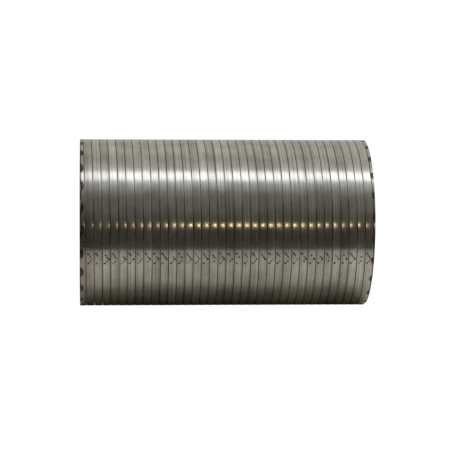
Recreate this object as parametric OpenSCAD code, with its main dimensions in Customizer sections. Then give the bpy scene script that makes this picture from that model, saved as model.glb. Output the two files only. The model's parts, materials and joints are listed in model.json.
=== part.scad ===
// Strip-wound, interlocked metal expansion joint for a 5 inch exhaust or duct line.
// One steel strip is wound into a tube along X. Its section is an S: an outer band,
// a web and an inner band, with a folded hook at each edge, and each turn hooks
// into the next with play, so the tube can shorten, lengthen and bend.
// The inlet is cut square at x = 0. Each turn of the winding is drawn as its own ring.

/* [Tube] */
// Outside diameter of the winding
tube_od = 133.35; // [100:0.05:170]
// Length between the two square-cut ends
tube_length = 228.6; // [228.2:0.1:229]

/* [Strip] */
// Advance of the winding in one turn
strip_pitch = 6.385; // [6.37:0.005:6.4]
// Thickness of the strip
strip_t = 0.45; // [0.3:0.05:0.5]
// Radial height of the wound section, from inside wall to outside wall
section_h = 2.875; // [2.8:0.025:3.5]
// Seam between neighbouring turns at rest, which is the play left for shortening
seam_gap = 0.15; // [0.1:0.05:0.4]
// Length of the folded foot on each hook
foot_len = 1.3; // [0.8:0.1:1.3]
// Radial play between a foot and the band that it slides along
foot_play = 0.3; // [0.2:0.05:0.3]
// Chamfer that stands for the bend at each outer corner
bend_chamfer = 0.3; // [0.1:0.05:0.3]

/* [Winding] */
// Number of whole turns between the two cut turns
full_turns = 35; // [35:1:35]
// Width left of the first turn after the square cut
inlet_cut_width = 3.57; // [3.37:0.05:3.97]

/* [Tack welds] */
// Number of tack welds around each end
weld_count = 24; // [6:1:36]
// Width of a tack weld around the tube
weld_width = 4.7; // [2:0.1:6]
// Length of an inlet tack weld along the tube
inlet_weld_len = 2.4; // [1:0.1:3]
// Length of an outlet tack weld along the tube, over the last seam
outlet_weld_len = 1.6; // [0.8:0.1:1.6]
// Radial depth of an outlet weld in the last seam
outlet_weld_depth = 0.9; // [0.5:0.1:1.2]
// Height of a weld's crown above the strip
weld_crown = 0.12; // [0.05:0.01:0.2]

/* [Hidden] */
$fn = 180;
outer_r = tube_od / 2;
inner_r = outer_r - section_h;
band_len = strip_pitch - seam_gap;      // length of each band, web included
inner_reach = band_len - strip_t;       // how far the inner band runs past its web
foot_low_r = inner_r + strip_t + foot_play;
foot_high_r = outer_r - strip_t - foot_play;
weld_angle = weld_width / outer_r * 180 / PI;
last_web_x = web_x(full_turns);
eps = 1;                                // overshoot of the cutting cylinder

TURNS = [for (k = [1:full_turns]) k];
function turn_name(k) = str("turn_", k < 10 ? "0" : "", k);

strip_colour = [0.72, 0.70, 0.66];
weld_colour = [0.42, 0.35, 0.29];

// Where the face of turn k's web is, which is also the end of its outer band.
function web_x(k) = inlet_cut_width + k * strip_pitch;

// The outer band and its hook, as [along the tube, radius], with the web's face at 0.
function outer_arm() = [
    [-strip_t, outer_r - strip_t],
    [-band_len + strip_t, outer_r - strip_t],
    [-band_len + strip_t, foot_low_r + strip_t],
    [-band_len + strip_t + foot_len, foot_low_r + strip_t],
    [-band_len + strip_t + foot_len, foot_low_r],
    [-band_len + bend_chamfer, foot_low_r],
    [-band_len, foot_low_r + bend_chamfer],
    [-band_len, outer_r - bend_chamfer],
    [-band_len + bend_chamfer, outer_r],
    [-bend_chamfer, outer_r],
    [0, outer_r - bend_chamfer]
];

// The inner band is the outer one turned half way round the middle of the web.
function turned(q) = [-strip_t - q[0], outer_r + inner_r - q[1]];
function strip_section() = concat(outer_arm(), [for (q = outer_arm()) turned(q)]);

// Turns what is drawn as [radius, height] about Z into a ring about X.
module along_x(x) {
    translate([x, 0, 0])
        rotate([0, 90, 0])
            children();
}

// One turn of the strip, as a ring whose web's face is at web_x(k).
module strip_ring(k) {
    along_x(web_x(k))
        rotate_extrude()
            polygon([for (q = strip_section()) [q[1], q[0]]]);
}

// A turn that one of the square cuts has gone through.
module cut_ring(k) {
    intersection() {
        strip_ring(k);
        along_x(0)
            cylinder(r = outer_r + eps, h = tube_length);
    }
}

// Equal weld pads round the tube, from radius r0 to r1 and from x0 over len.
module weld_row(r0, r1, x0, len) {
    for (i = [0:weld_count - 1])
        rotate([i * 360 / weld_count, 0, 0])
            along_x(x0)
                rotate([0, 0, -weld_angle / 2])
                    rotate_extrude(angle = weld_angle)
                        translate([r0, 0])
                            square([r1 - r0, len]);
}

// What the cut left of the inner band before the first turn. The welds hold it.
module inlet_inner_rim() {
    color(strip_colour)
        cut_ring(-1);
}

module inlet_cut_turn() {
    color(strip_colour)
        cut_ring(0);
}

module strip_turn(k) {
    color(strip_colour)
        cut_ring(k);
}

// What the cut left of the outer band after the last turn. The welds hold it.
module outlet_outer_rim() {
    color(strip_colour)
        cut_ring(full_turns + 1);
}

// Each inlet weld has a nugget between the foot and the band, and a crown outside.
module inlet_tack_welds() {
    foot_x = web_x(-1) + inner_reach - strip_t - foot_len;
    color(weld_colour) {
        weld_row(foot_high_r, outer_r - strip_t, foot_x, foot_len);
        weld_row(outer_r, outer_r + weld_crown, 0, inlet_weld_len);
    }
}

// Each outlet weld fills the last seam and has a crown over it, which joins the rim
// to the last whole turn.
module outlet_tack_welds() {
    crown_x = last_web_x + (seam_gap - outlet_weld_len) / 2;
    crown_r = outer_r + weld_crown;
    color(weld_colour) {
        weld_row(outer_r - outlet_weld_depth, crown_r, last_web_x, seam_gap);
        weld_row(outer_r, crown_r, crown_x, outlet_weld_len);
    }
}

inlet_inner_rim();
inlet_cut_turn();
inlet_tack_welds();
for (k = TURNS)
    strip_turn(k);
outlet_outer_rim();
outlet_tack_welds();
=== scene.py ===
"""Looks of a short strip-wound, interlocked steel hose: one strip wound into a helix.

Each turn of the winding moves with the CAD turn it stands for. The tube lies along X, from
the inlet's cut at 0, and the camera is on its -Y side. The tube's sizes are in millimetres
until they are handed to Blender. The studio's are in metres.
"""

import json
import math
import random

import bmesh
import bpy
import numpy as np
from mathutils import Euler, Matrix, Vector


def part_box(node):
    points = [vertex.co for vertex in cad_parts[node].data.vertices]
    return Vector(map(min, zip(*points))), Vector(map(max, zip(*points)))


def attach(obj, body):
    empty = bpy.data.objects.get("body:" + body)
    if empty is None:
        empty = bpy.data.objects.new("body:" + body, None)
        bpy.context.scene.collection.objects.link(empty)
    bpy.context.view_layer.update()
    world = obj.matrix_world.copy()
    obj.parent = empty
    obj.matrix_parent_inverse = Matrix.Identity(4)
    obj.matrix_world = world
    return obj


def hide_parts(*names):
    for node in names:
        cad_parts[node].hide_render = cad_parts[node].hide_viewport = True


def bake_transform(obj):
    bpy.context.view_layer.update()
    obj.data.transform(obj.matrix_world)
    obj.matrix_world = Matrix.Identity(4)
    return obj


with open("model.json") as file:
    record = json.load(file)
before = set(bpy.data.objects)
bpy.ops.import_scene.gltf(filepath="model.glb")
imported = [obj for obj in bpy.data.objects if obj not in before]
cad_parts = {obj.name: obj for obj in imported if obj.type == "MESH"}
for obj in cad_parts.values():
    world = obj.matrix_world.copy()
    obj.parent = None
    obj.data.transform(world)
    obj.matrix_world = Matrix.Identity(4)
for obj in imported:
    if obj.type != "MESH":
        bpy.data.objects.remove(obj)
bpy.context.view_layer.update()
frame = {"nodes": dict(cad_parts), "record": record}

MM = 0.001

# ---------------------------------------------------------------- sizes from the frame
MOUNTS = {m["name"]: m for m in frame["record"]["mounts"]}
OUTER_R = MOUNTS["inlet_outside"]["dims"]["r_mm"]
INNER_R = MOUNTS["inlet_bore"]["dims"]["r_mm"]
LENGTH = MOUNTS["inlet_bore"]["dims"]["length_mm"]
FULL_TURNS = sum(name.startswith("turn_") for name in frame["nodes"])
PITCH = (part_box("turn_03")[0][0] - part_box("turn_02")[0][0]) / MM

# The strip's thickness, the length of the foot folded in at each edge, the foot's play over
# the next turn's band, the bends' radius, and how far a visible band's edges lie below its
# middle.
STRIP_T = 0.45
FOOT_LEN = 1.3
FOOT_PLAY = 0.3
BEND_R = 0.42
CROWN = 0.09

# The section's outer and inner bands are equal and share the web between them. FIRST_WEB_X is
# where the web of turn 0, the one that the inlet's cut goes through, is on the -Y side.
TURN_LOW_X, TURN_HIGH_X = (corner[0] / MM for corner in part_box("turn_02"))
BAND_LEN = (TURN_HIGH_X - TURN_LOW_X + STRIP_T) / 2
FIRST_WEB_X = TURN_LOW_X + BAND_LEN - 2 * PITCH

# The first weld's angle from the top at each end, in degrees, and the dent each inlet weld
# pulls into the strip: how far it reaches along and round the tube, and its depth.
WELDS = 24
WELD_STEP = 360 / WELDS
INLET_WELD_TURN = 80.5
OUTLET_WELD_TURN = 86.7
DIMPLE_ALONG = 3.0
DIMPLE_ROUND = 4.4
DIMPLE_DEPTH = 0.34

# Pieces across the visible band and steps round a whole turn, for dented and plain turns. A
# side of the section no longer than SHORT_SIDE isn't cut into pieces.
DENTED_DETAIL = (14, 360)
PLAIN_DETAIL = (6, 120)
SHORT_SIDE = 3

# A turn starts and ends on the far side, +Y, by its angle from the top over the -Y side. Its
# last quarter, from the bottom up, leads over to the next body.
TURN_START = -90
LEAD_START = 180
TURN_END = 270

# In metres: how near a cut a point counts as on it, which is also the shortest edge kept, and
# how near a face counts as part of it.
CUT_REACH = 1e-7
CUT_NEAR = 1e-6


# ---------------------------------------------------------------- the strip's section
def rounded(points, radii, steps=4):
    """The closed outline with each corner replaced by a short curve of about that radius."""
    out = []
    count = len(points)
    for i, corner in enumerate(points):
        before, after = points[i - 1], points[(i + 1) % count]
        reach = []
        for other in (before, after):
            reach.append(min(radii[i], 0.4 * math.dist(corner, other)))
        start, end = (
            [c + (o - c) * r / math.dist(corner, other) for c, o in zip(corner, other)]
            for other, r in zip((before, after), reach)
        )
        for s in range(steps + 1):
            t = s / steps
            weights = ((1 - t) ** 2, 2 * t * (1 - t), t**2)
            out.append(
                [sum(w * p[a] for w, p in zip(weights, (start, corner, end))) for a in (0, 1)]
            )
    return out


def strip_outline(splits):
    """The S section as [along the tube, radius] in mm, with the web's face at 0.

    splits is how many pieces the visible band is cut into, so that it can bow and dent.
    """
    low = INNER_R + STRIP_T + FOOT_PLAY
    arm = [
        (-STRIP_T, OUTER_R - STRIP_T),
        (-BAND_LEN + STRIP_T, OUTER_R - STRIP_T),
        (-BAND_LEN + STRIP_T, low + STRIP_T),
        (-BAND_LEN + STRIP_T + FOOT_LEN, low + STRIP_T),
        (-BAND_LEN + STRIP_T + FOOT_LEN, low),
        (-BAND_LEN, low),
        (-BAND_LEN, OUTER_R),
        (0, OUTER_R),
    ]
    radii = [0.08, 0.08, 0.08, 0.1, 0.1, BEND_R, BEND_R, BEND_R]
    turned = [(-STRIP_T - x, OUTER_R + INNER_R - r) for x, r in arm]
    outline = rounded(arm + turned, radii + radii)
    fine = []
    for p, q in zip(outline, outline[1:] + outline[:1]):
        parts = 1
        if math.dist(p, q) > SHORT_SIDE:
            outside = min(p[1], q[1]) > OUTER_R - STRIP_T / 2
            parts = splits if outside else max(2, splits // 3)
        fine += [[a + (b - a) * s / parts for a, b in zip(p, q)] for s in range(parts)]
    points = np.array(fine)
    across = np.clip(2 * (points[:, 0] + BAND_LEN) / BAND_LEN - 1, -1, 1)
    outer_half = points[:, 1] > (OUTER_R + INNER_R) / 2
    bow = np.where(outer_half, -CROWN * across**2, 0)
    points[:, 1] += bow * np.clip((points[:, 1] - low) / (OUTER_R - low), 0, 1)
    return points


def pocket_share(points):
    """1 inside the seam's pocket and 0 on the tube's outer and inner walls."""
    depth = np.minimum(OUTER_R - points[:, 1], points[:, 1] - INNER_R)
    return np.clip((depth - 0.04) / 0.2, 0, 1)


# ---------------------------------------------------------------- the winding
def web_x(turn, angle):
    """Where the web's face is. angle goes from the top, 0, over the -Y side, 90, in degrees."""
    return FIRST_WEB_X + PITCH * (turn + (angle - 90) / 360)


def weld_offset(angle, first):
    """Distance round the tube, in mm, from the nearest of the evenly spaced welds."""
    half = WELD_STEP / 2
    return np.radians((angle - first + half) % WELD_STEP - half) * OUTER_R


def winding(turn, start, end, splits, per_turn):
    """Points, normals and strip coordinates of a stretch of one turn, as grids.

    The strip coordinates are the distances along the strip and round its section, in metres,
    and the pocket share. One step more at each end, left out again, gives the end rows their
    normals.
    """
    outline = strip_outline(splits)
    steps = round((end - start) / 360 * per_turn)
    step = (end - start) / steps
    angles = start + step * np.arange(-1, steps + 2)
    grid = np.zeros((len(angles), len(outline), 3))
    for row, angle in enumerate(angles):
        x = web_x(turn, angle) + outline[:, 0]
        r = outline[:, 1].copy()
        if turn <= 1:
            reach = (x / DIMPLE_ALONG) ** 2
            reach += (weld_offset(angle, INLET_WELD_TURN) / DIMPLE_ROUND) ** 2
            outer_arm = np.clip((r - OUTER_R + 3 * STRIP_T) / STRIP_T, 0, 1)
            r -= DIMPLE_DEPTH * np.clip(1 - reach, 0, 1) ** 1.5 * outer_arm
        turn_angle = math.radians(angle)
        grid[row, :, 0] = x
        grid[row, :, 1] = -r * math.sin(turn_angle)
        grid[row, :, 2] = r * math.cos(turn_angle)
    along = grid[2:] - grid[:-2]
    edge = np.roll(grid, -1, axis=1) - grid
    lengths = np.cumsum(np.linalg.norm(edge[1], axis=1))
    edge = edge[1:-1]
    tangent = edge + np.roll(edge, 1, axis=1)
    normals = np.cross(along, tangent)
    normals /= np.linalg.norm(normals, axis=2, keepdims=True)
    strip = np.zeros_like(normals)
    strip[:, :, 0] = (np.radians(angles[1:-1])[:, None] + turn * 2 * math.pi) * OUTER_R
    strip[:, :, 1] = lengths[None, :]
    strip[:, :, 2] = pocket_share(outline)[None, :]
    strip[:, :, :2] *= MM
    return grid[1:-1] * MM, normals, strip


def grid_mesh(name, points, normals, strip):
    """A mesh of the grid, closed across the section and open at its two ends."""
    rows, cols = points.shape[:2]
    index = np.arange(rows * cols).reshape(rows, cols)
    beside = np.roll(index, -1, axis=1)
    faces = np.stack([index[:-1], index[1:], beside[1:], beside[:-1]], axis=-1)
    mesh = bpy.data.meshes.new(name)
    mesh.from_pydata(points.reshape(-1, 3).tolist(), [], faces.reshape(-1, 4).tolist())
    for key, values in (("strip", strip), ("place", points), ("rest_normal", normals)):
        layer = mesh.attributes.new(key, "FLOAT_VECTOR", "POINT")
        layer.data.foreach_set("vector", values.reshape(-1).astype(np.float32))
    return mesh


def cut_square(mesh):
    """Cuts the mesh off at both ends of the tube and closes the cuts."""
    edit = bmesh.new()
    edit.from_mesh(mesh)
    for x, side in ((0, -1), (LENGTH * MM, 1)):
        geometry = edit.verts[:] + edit.edges[:] + edit.faces[:]
        cut = bmesh.ops.bisect_plane(
            edit, geom=geometry, dist=CUT_REACH, clear_outer=True,
            plane_co=(x, 0, 0), plane_no=(side, 0, 0),
        )
        rim = [e for e in cut["geom_cut"] if isinstance(e, bmesh.types.BMEdge)]
        if rim:
            bmesh.ops.triangle_fill(edit, use_beauty=True, edges=rim, normal=(side, 0, 0))
    bmesh.ops.dissolve_degenerate(edit, dist=CUT_REACH, edges=edit.edges[:])
    edit.to_mesh(mesh)
    edit.free()


def set_normals(mesh):
    """Smooth normals from the winding, so that neighbouring pieces shade as one strip.

    The faces of the cuts stay flat.
    """
    layer = mesh.attributes["rest_normal"]
    values = np.zeros(len(mesh.vertices) * 3, np.float32)
    layer.data.foreach_get("vector", values)
    values = values.reshape(-1, 3)
    lengths = np.linalg.norm(values, axis=1, keepdims=True)
    values = values / np.maximum(lengths, 1e-9)
    loops = np.zeros((len(mesh.loops), 3))
    for face in mesh.polygons:
        face.use_smooth = True
        from_cut = min(abs(face.center.x), abs(face.center.x - LENGTH * MM))
        flat = abs(face.normal.x) > 0.999 and from_cut < CUT_NEAR
        for loop in face.loop_indices:
            vertex = mesh.loops[loop].vertex_index
            loops[loop] = face.normal if flat else values[vertex]
    mesh.normals_split_custom_set(loops.tolist())
    mesh.attributes.remove(mesh.attributes["rest_normal"])


def strip_piece(name, turn, start, end, material):
    """One stretch of one turn of the strip, as an object, or None where the cuts leave nothing."""
    at_end = turn <= 1 or turn >= FULL_TURNS - 1
    splits, per_turn = DENTED_DETAIL if turn <= 1 else PLAIN_DETAIL
    mesh = grid_mesh(name, *winding(turn, start, end, splits, per_turn))
    if at_end:
        cut_square(mesh)
    if not mesh.polygons:
        return None
    set_normals(mesh)
    mesh.materials.append(material)
    piece = bpy.data.objects.new(name, mesh)
    bpy.context.collection.objects.link(piece)
    return piece


def body_of_turn(turn):
    """The CAD body that a turn of the winding moves with."""
    if turn <= 1:
        return "inlet_end"
    return "outlet_end" if turn >= FULL_TURNS else f"turn_{turn:02d}"


def nodes_of_turn(turn):
    """The CAD nodes that a turn of the winding stands for."""
    if turn < 0:
        return ["inlet_inner_rim"]
    if turn == 0:
        return ["inlet_cut_turn"]
    return ["outlet_outer_rim"] if turn > FULL_TURNS else [f"turn_{turn:02d}"]


def wind_strip(material):
    """The whole winding, with each turn as a main piece and a lead to the next body."""
    for turn in range(-1, FULL_TURNS + 2):
        name = f"strip_turn_{turn + 1:02d}"
        body = body_of_turn(turn)
        following = body_of_turn(turn + 1)
        main = strip_piece(name, turn, TURN_START, LEAD_START, material)
        lead = strip_piece(f"{name}_lead", turn, LEAD_START, TURN_END, material)
        for piece in filter(None, (main, lead)):
            if piece is main or body == following:
                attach(piece, body)
            else:
                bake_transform(piece)
        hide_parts(*nodes_of_turn(turn))


# ---------------------------------------------------------------- tack welds
def weld_bead(edit, x, angle, along, round_tube, high, sink, rng):
    """A low, uneven oval bead of weld metal on the tube's skin, flat at the tube's end.

    along, round_tube and high are its half sizes, and sink is how far its centre lies under
    the skin.
    """
    made = bmesh.ops.create_uvsphere(edit, u_segments=18, v_segments=10, radius=1)
    turn_angle = math.radians(angle)
    out = Vector((0, -math.sin(turn_angle), math.cos(turn_angle)))
    beside = Vector((0, -math.cos(turn_angle), -math.sin(turn_angle)))
    squeeze = [1 + rng.uniform(-0.12, 0.12) for _ in range(3)]
    phase = rng.uniform(0, 2 * math.pi)
    for vertex in made["verts"]:
        p = vertex.co
        ripple = 1 + 0.1 * math.sin(3 * math.atan2(p.y, p.x) + phase)
        px = x + along * squeeze[0] * ripple * p.x
        round_by = round_tube * squeeze[1] * ripple * p.y
        r = OUTER_R - sink + high * squeeze[2] * p.z
        px = min(max(px, 0), LENGTH)
        lean = round_by / OUTER_R
        place = out * (r * math.cos(lean)) + beside * (r * math.sin(lean))
        vertex.co = Vector((px, place.y, place.z)) * MM


def weld_ring(name, node, body, x, first, along, round_tube, high, sink, material):
    """All tack welds round one end, as one piece."""
    rng = random.Random(name)
    edit = bmesh.new()
    for i in range(WELDS):
        angle = first + i * WELD_STEP + rng.uniform(-0.4, 0.4)
        weld_bead(edit, x, angle, along, round_tube, high, sink, rng)
    mesh = bpy.data.meshes.new(name)
    edit.to_mesh(mesh)
    edit.free()
    for face in mesh.polygons:
        face.use_smooth = True
    mesh.materials.append(material)
    piece = bpy.data.objects.new(name, mesh)
    bpy.context.collection.objects.link(piece)
    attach(piece, body)
    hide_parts(node)


# ---------------------------------------------------------------- materials
STEEL_LIGHT = (0.70, 0.67, 0.575, 1)
STEEL_DARK = (0.36, 0.335, 0.275, 1)
STRAW = (0.60, 0.50, 0.33, 1)
STAIN = (0.26, 0.22, 0.16, 1)
CUT_EDGE = (0.09, 0.075, 0.05, 1)
TINT = (0.15, 0.125, 0.075, 1)
BURNT = (0.045, 0.035, 0.022, 1)
# Dirt and painted shade in the seam pockets between the turns.
SEAM_DIRT_AND_SHADE = (0.07, 0.052, 0.03, 1)
INK = (0.012, 0.012, 0.01, 1)

# Dots of the printed mark on each turn: share across the band, angle from the top, radius in mm.
INK_DOTS = [
    (0.27, 111.4, 0.82), (0.42, 112.6, 0.66), (0.58, 113.9, 0.7),
    (0.76, 115.3, 0.9), (0.55, 117.0, 0.6), (0.30, 118.5, 0.78),
]
INK_BLUR = 0.2
MM_PER_DEGREE = math.radians(1) * OUTER_R


class Nodes:
    """A short way to write a node tree."""

    def __init__(self, tree):
        self.tree = tree
        tree.nodes.clear()

    def add(self, kind, **inputs):
        node = self.tree.nodes.new(kind)
        for key, value in inputs.items():
            place = int(key[1:]) if key[1:].isdigit() else key.replace("_", " ")
            self.put(node.inputs[place], value)
        return node

    def put(self, socket, value):
        if isinstance(value, bpy.types.NodeSocket):
            self.tree.links.new(value, socket)
        else:
            socket.default_value = value

    def attribute(self, name):
        node = self.add("ShaderNodeAttribute")
        node.attribute_name = name
        return node.outputs["Vector"]

    def math(self, operation, a, b=0.0, c=0.0, clamp=False):
        node = self.add("ShaderNodeMath", _0=a, _1=b, _2=c)
        node.operation = operation
        node.use_clamp = clamp
        return node.outputs[0]

    def plus(self, a, b):
        return self.math("ADD", a, b)

    def minus(self, a, b):
        return self.math("SUBTRACT", a, b)

    def times(self, a, b):
        return self.math("MULTIPLY", a, b)

    def hypotenuse(self, a, b):
        return self.math("SQRT", self.plus(self.times(a, a), self.times(b, b)))

    def noise(self, vector, scale=1.0, detail=3.0, roughness=0.5):
        node = self.add("ShaderNodeTexNoise", Vector=vector, Scale=scale)
        self.put(node.inputs["Detail"], detail)
        self.put(node.inputs["Roughness"], roughness)
        return node.outputs["Fac"]

    def stretch(self, vector, scale):
        node = self.add("ShaderNodeMapping", Vector=vector, Scale=scale)
        return node.outputs[0]

    def span(self, value, low, high, to_low=0.0, to_high=1.0):
        node = self.add("ShaderNodeMapRange", Value=value, From_Min=low, From_Max=high)
        self.put(node.inputs["To Min"], to_low)
        self.put(node.inputs["To Max"], to_high)
        return node.outputs[0]

    def mix(self, share, a, b):
        node = self.tree.nodes.new("ShaderNodeMix")
        node.data_type = "RGBA"
        self.put(node.inputs[0], share)
        self.put(node.inputs[6], a)
        self.put(node.inputs[7], b)
        return node.outputs[2]


def new_material(name):
    """A bare metal material, its nodes and its shader."""
    material = bpy.data.materials.new(name)
    material.use_nodes = True
    nodes = Nodes(material.node_tree)
    shader = nodes.add("ShaderNodeBsdfPrincipled", Metallic=1.0)
    nodes.add("ShaderNodeOutputMaterial", Surface=shader.outputs[0])
    return material, nodes, shader


def tube_place(nodes):
    """Sockets for the place at rest, its x in mm, its angle from the top and an outside mask."""
    place = nodes.attribute("place")
    parts = nodes.add("ShaderNodeSeparateXYZ", Vector=place).outputs
    x = nodes.times(parts[0], 1 / MM)
    angle = nodes.math("ARCTAN2", nodes.times(parts[1], -1.0), parts[2])
    middle_r = (INNER_R + OUTER_R) / 2 * MM
    outside = nodes.math("GREATER_THAN", nodes.hypotenuse(parts[1], parts[2]), middle_r)
    return place, x, nodes.math("DEGREES", angle), outside


def weld_heat(nodes, x, angle, centre_x, first, along, round_tube):
    """A socket that is 1 at each weld's centre and 0 one oval radius away."""
    half = WELD_STEP / 2
    shifted = nodes.plus(angle, 720 - first + half)
    nearest = nodes.minus(nodes.math("MODULO", shifted, WELD_STEP), half)
    aside = nodes.times(nearest, MM_PER_DEGREE / round_tube)
    ahead = nodes.times(nodes.minus(x, centre_x), 1 / along)
    return nodes.math("SUBTRACT", 1.0, nodes.hypotenuse(aside, ahead), clamp=True)


def ink_mark(nodes, x, angle):
    """A socket that is up to 1 on a slanting group of printed dots on each turn, with dropouts."""
    ahead = nodes.times(nodes.minus(angle, 90.0), PITCH / 360)
    turns = nodes.times(nodes.minus(nodes.minus(x, FIRST_WEB_X), ahead), 1 / PITCH)
    turn = nodes.math("FLOOR", turns)
    across = nodes.math("FRACT", turns)
    ink = 0.0
    for i, (share, dot_angle, radius) in enumerate(INK_DOTS):
        dx = nodes.times(nodes.minus(across, share), PITCH)
        dy = nodes.times(nodes.minus(angle, dot_angle), MM_PER_DEGREE)
        dot = nodes.span(nodes.hypotenuse(dx, dy), radius + INK_BLUR, radius - INK_BLUR)
        cell = nodes.add("ShaderNodeCombineXYZ", X=turn, Y=float(i))
        seed = nodes.add("ShaderNodeTexWhiteNoise", Vector=cell.outputs[0])
        dropout = nodes.span(seed.outputs["Value"], 0.15, 0.6)
        ink = nodes.math("MAXIMUM", ink, nodes.times(dot, dropout))
    return ink


def steel_tone(nodes, streak, hair, drift, smudge):
    """The plain strip's colour: streaks along it, turns that differ, and soft smudges."""
    tone = nodes.span(streak, 0.35, 0.67, 0.16, 0.86)
    tone = nodes.plus(tone, nodes.span(drift, 0.38, 0.62, -0.2, 0.2))
    tone = nodes.plus(tone, nodes.span(smudge, 0.35, 0.65, -0.2, 0.2))
    tone = nodes.math("ADD", tone, nodes.span(hair, 0.35, 0.65, -0.15, 0.15), clamp=True)
    return nodes.mix(tone, STEEL_DARK, STEEL_LIGHT)


def end_tints(nodes, colour, x, angle, smudge):
    """The colour with the stains and weld heat of both ends, and how burnt each place is."""
    near_outlet = nodes.span(x, LENGTH - 2.2, LENGTH - 0.6, 0, 0.55)
    colour = nodes.mix(near_outlet, colour, STRAW)
    stained = nodes.times(nodes.span(x, 10.0, 8.0), nodes.span(smudge, 0.3, 0.6, 0.25, 0.75))
    below = nodes.span(nodes.math("ABSOLUTE", angle), 85, 125, 0.25, 1.0)
    colour = nodes.mix(nodes.times(stained, below), colour, STAIN)
    colour = nodes.mix(nodes.span(x, 0.8, 0.3, 0, 0.7), colour, CUT_EDGE)
    inlet = weld_heat(
        nodes, x, angle, centre_x=-0.3, first=INLET_WELD_TURN, along=3.3, round_tube=5.4
    )
    outlet = weld_heat(
        nodes, x, angle, centre_x=LENGTH - 0.6, first=OUTLET_WELD_TURN, along=2.6, round_tube=4.4
    )
    colour = nodes.mix(nodes.times(nodes.span(inlet, 0.0, 0.12), 0.55), colour, TINT)
    burnt = nodes.math("MAXIMUM", nodes.span(inlet, 0.16, 0.34), nodes.span(outlet, 0.1, 0.5))
    return nodes.mix(nodes.times(burnt, 0.93), colour, BURNT), burnt


def strip_steel():
    """Cold-rolled strip: grain along it, tone drifting from turn to turn, seams dull with dirt and
    painted shade.
    """
    material, nodes, shader = new_material("strip_steel")
    lie = nodes.attribute("strip")
    pocket = nodes.add("ShaderNodeSeparateXYZ", Vector=lie).outputs[2]
    place, x, angle, outside = tube_place(nodes)

    hair = nodes.noise(nodes.stretch(lie, (14, 5200, 0)), detail=4, roughness=0.6)
    streak = nodes.noise(nodes.stretch(lie, (7, 1050, 0)), detail=3, roughness=0.55)
    drift = nodes.noise(nodes.stretch(lie, (5, 0, 0)), detail=3)
    smudge = nodes.noise(place, scale=75, detail=4, roughness=0.6)

    colour = steel_tone(nodes, streak, hair, drift, smudge)
    colour, burnt = end_tints(nodes, colour, x, angle, smudge)
    # Painted shade, with some dirt, darkens the seam pockets, where the gap between turns lies in
    # shade.
    colour = nodes.mix(nodes.times(pocket, 0.92), colour, SEAM_DIRT_AND_SHADE)
    printable = nodes.times(outside, nodes.math("SUBTRACT", 1.0, pocket, clamp=True))
    ink = nodes.times(ink_mark(nodes, x, angle), printable)
    nodes.put(shader.inputs["Base Color"], nodes.mix(ink, colour, INK))
    nodes.put(shader.inputs["Metallic"], nodes.minus(1.0, ink))

    rough = nodes.span(hair, 0.3, 0.7, 0.11, 0.19)
    rough = nodes.plus(rough, nodes.span(smudge, 0.4, 0.8, 0.0, 0.07))
    rough = nodes.plus(rough, nodes.times(pocket, 0.3))
    rough = nodes.plus(rough, nodes.times(burnt, 0.4))
    nodes.put(shader.inputs["Roughness"], rough)

    # The grain runs round the tube, so highlights spread along it. The small Y and Z keep the
    # direction clear of the normals of the square-cut ends.
    along_tube = nodes.add("ShaderNodeCombineXYZ", X=1.0, Y=0.02, Z=0.01)
    nodes.put(shader.inputs["Tangent"], along_tube.outputs[0])
    nodes.put(shader.inputs["Anisotropic"], 0.4)
    height = nodes.plus(nodes.times(hair, 0.5), nodes.times(streak, 0.5))
    bump = nodes.add("ShaderNodeBump", Strength=0.15, Distance=0.00002, Height=height)
    nodes.put(shader.inputs["Normal"], bump.outputs[0])
    return material


def weld_metal(name, dark, light):
    """Cast-looking weld metal with a heat-tinted, scaly skin."""
    material, nodes, shader = new_material(name)
    place = nodes.add("ShaderNodeTexCoord").outputs["Object"]
    scale = nodes.noise(place, scale=900, detail=4, roughness=0.65)
    patch = nodes.noise(place, scale=160, detail=2)
    fine = nodes.span(scale, 0.35, 0.7, 0, 0.6)
    broad = nodes.span(patch, 0.4, 0.7, 0, 0.5)
    share = nodes.math("ADD", fine, broad, clamp=True)
    nodes.put(shader.inputs["Base Color"], nodes.mix(share, dark, light))
    nodes.put(shader.inputs["Roughness"], nodes.span(scale, 0.3, 0.7, 0.32, 0.55))
    bump = nodes.add("ShaderNodeBump", Strength=0.5, Distance=0.00008, Height=scale)
    nodes.put(shader.inputs["Normal"], bump.outputs[0])
    return material


# ---------------------------------------------------------------- studio
# What the steel mirrors, by elevation in degrees: 0 in front, 90 overhead, 180 behind.
# Each stop has its light and how blue that light is.
STUDIO = [
    (-180, 0.52, 1.0), (-150, 0.45, 1.0), (-90, 0.20, 0.95), (-40, 0.10, 0.9),
    (-32, 0.075, 0.88), (-26, 0.062, 0.85), (-5, 0.07, 0.85),
    (22, 0.18, 0.96), (34, 0.19, 1.0), (42, 0.262, 1.06), (50, 0.46, 1.18),
    (56, 0.64, 1.22), (59, 0.95, 1.22), (62.5, 1.95, 1.2), (68, 2.05, 1.18),
    (72, 1.8, 1.16), (75.5, 0.86, 1.12), (82, 0.60, 1.06), (99, 0.51, 1.0),
    (117, 0.64, 1.0), (135, 0.53, 1.0), (160, 0.52, 1.0), (180, 0.55, 1.0),
]

# How far the floor reaches each way, and the table behind the tube.
FLOOR = 6
TABLE_BACK = 3

# The table in front of the tube, in outer radii from the axis: its front edge, where it has
# grown as light as it gets, and a faintly glowing line of painted light with its half width.
# The table's colour darkening towards its front edge is painted shade.
TABLE_EDGE = 1.82
TABLE_PLAIN = 1.15
LINE_AT = 0.64
LINE_HALF = 0.22
# The table's colours at its front edge and near the tube: painted shade that lifts towards the
# tube.
TABLE_DARK = (0.55, 0.535, 0.50, 1)
TABLE_LIGHT = (0.96, 0.932, 0.85, 1)


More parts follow.
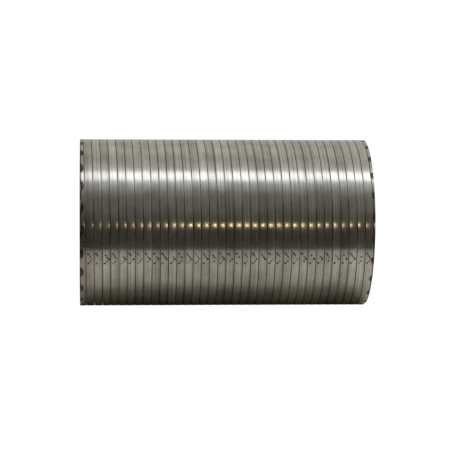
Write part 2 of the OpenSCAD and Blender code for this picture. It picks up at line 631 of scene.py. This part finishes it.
def studio_world():
    """Surroundings as plain bands of light, and plain white behind the object."""
    world = bpy.data.worlds.new("studio")
    bpy.context.scene.world = world
    world.use_nodes = True
    nodes = Nodes(world.node_tree)
    way = nodes.add("ShaderNodeTexCoord").outputs["Generated"]
    parts = nodes.add("ShaderNodeSeparateXYZ", Vector=way)
    ahead = nodes.times(parts.outputs[1], -1.0)
    elevation = nodes.math("DEGREES", nodes.math("ARCTAN2", parts.outputs[2], ahead))
    ramp = nodes.add("ShaderNodeValToRGB", Fac=nodes.span(elevation, -180, 180))
    stops = ramp.color_ramp.elements
    while len(stops) < len(STUDIO):
        stops.new(0.5)
    top = max(light * blue for _, light, blue in STUDIO)
    for stop, (degrees, light, blue) in zip(stops, STUDIO):
        share = light / top
        stop.position = (degrees + 180) / 360
        stop.color = (share, share * (0.75 + 0.25 * blue), share * blue, 1)
    mirrored = nodes.add("ShaderNodeBackground", Color=ramp.outputs[0], Strength=top)
    seen = nodes.add("ShaderNodeBackground", Color=(1, 1, 1, 1), Strength=1.05)
    ray = nodes.add("ShaderNodeLightPath").outputs["Is Camera Ray"]
    both = nodes.add("ShaderNodeMixShader", Fac=ray, _1=mirrored.outputs[0], _2=seen.outputs[0])
    nodes.add("ShaderNodeOutputWorld", Surface=both.outputs[0])


def floor_plane(name, low_y, high_y, drop):
    """A wide level sheet, drop below the tube, with its nodes, its dull surface and its glow."""
    z = -OUTER_R * MM - drop
    mesh = bpy.data.meshes.new(name)
    corners = [(-FLOOR, low_y, z), (FLOOR, low_y, z), (FLOOR, high_y, z), (-FLOOR, high_y, z)]
    mesh.from_pydata(corners, [], [(0, 1, 2, 3)])
    plane = bpy.data.objects.new(name, mesh)
    bpy.context.collection.objects.link(plane)
    material = bpy.data.materials.new(name)
    material.use_nodes = True
    nodes = Nodes(material.node_tree)
    sheen = nodes.add("ShaderNodeBsdfDiffuse")
    glow = nodes.add("ShaderNodeEmission")
    both = nodes.add("ShaderNodeAddShader", _0=sheen.outputs[0], _1=glow.outputs[0])
    nodes.add("ShaderNodeOutputMaterial", Surface=both.outputs[0])
    mesh.materials.append(material)
    return plane, nodes, sheen, glow


def white_floor():
    """What the camera sees under the tube. The steel doesn't mirror it."""
    floor, nodes, sheen, glow = floor_plane("floor", -FLOOR, FLOOR, drop=0.0006)
    nodes.put(sheen.inputs["Color"], (0.2, 0.2, 0.2, 1))
    nodes.put(glow.inputs["Color"], (1, 1, 1, 1))
    nodes.put(glow.inputs["Strength"], 1.0)
    floor.visible_glossy = False
    floor.visible_diffuse = False
    floor.visible_shadow = False


def table_top():
    """What the steel mirrors from below: painted shade towards its front edge, a line of painted
    light.
    """
    front = -TABLE_EDGE * OUTER_R * MM
    table, nodes, sheen, glow = floor_plane("table_top", front, TABLE_BACK, drop=0.0003)
    place = nodes.add("ShaderNodeTexCoord").outputs["Object"]
    y = nodes.add("ShaderNodeSeparateXYZ", Vector=place).outputs[1]
    radii = nodes.math("DIVIDE", y, -OUTER_R * MM)
    # Painted shade: the table's colour darkens towards its front edge.
    nearness = nodes.span(radii, TABLE_EDGE, TABLE_PLAIN)
    nodes.put(sheen.inputs["Color"], nodes.mix(nearness, TABLE_DARK, TABLE_LIGHT))
    # Painted light: a faint glow over the table, strongest in a line just in front of the tube.
    from_line = nodes.math("ABSOLUTE", nodes.minus(radii, LINE_AT))
    nodes.put(glow.inputs["Color"], (1, 0.96, 0.88, 1))
    nodes.put(glow.inputs["Strength"], nodes.span(from_line, 0.0, LINE_HALF, 0.03, 0.006))
    table.visible_camera = False


def warm_lamp():
    """A small warm lamp beside the camera, which each bowed turn mirrors as one glint."""
    lamp = bpy.data.lights.new("warm_lamp", "AREA")
    lamp.shape = "DISK"
    lamp.size = 0.012
    lamp.energy = 0.15
    lamp.color = (1.0, 0.79, 0.54)
    holder = bpy.data.objects.new("warm_lamp", lamp)
    bpy.context.collection.objects.link(holder)
    holder.location = (0.27, -1.5, -0.10)
    holder.visible_camera = False
    aim = Vector((LENGTH * MM / 2, 0, 0)) - holder.location
    holder.rotation_euler = aim.to_track_quat("-Z", "Y").to_euler()


def camera():
    """Level with the tube's axis, just beyond its inlet, looking slightly to the right."""
    down, right = 0.079, 4.620
    data = bpy.data.cameras.new("camera")
    data.sensor_width = 36
    data.lens = 155.85
    data.clip_start = 0.05
    data.clip_end = 20
    holder = bpy.data.objects.new("camera", data)
    bpy.context.collection.objects.link(holder)
    holder.location = (-0.00996, -1.566, 0)
    holder.rotation_euler = Euler((math.radians(90 - down), 0, math.radians(-right)))
    bpy.context.scene.camera = holder


camera()
studio_world()
white_floor()
table_top()
warm_lamp()
wind_strip(strip_steel())
weld_ring(
    "tack_welds_inlet", "inlet_tack_welds", "inlet_end",
    x=0.2, first=INLET_WELD_TURN, along=1.7, round_tube=2.1, high=0.16, sink=0.24,
    material=weld_metal("weld_inlet", (0.03, 0.024, 0.016, 1), (0.12, 0.098, 0.07, 1)),
)
weld_ring(
    "tack_welds_outlet", "outlet_tack_welds", "outlet_end",
    x=LENGTH - 0.9, first=OUTLET_WELD_TURN, along=0.9, round_tube=2.5, high=0.35, sink=0.27,
    material=weld_metal("weld_outlet", (0.06, 0.042, 0.028, 1), (0.20, 0.13, 0.07, 1)),
)
bpy.context.scene.view_settings.view_transform = "Standard"
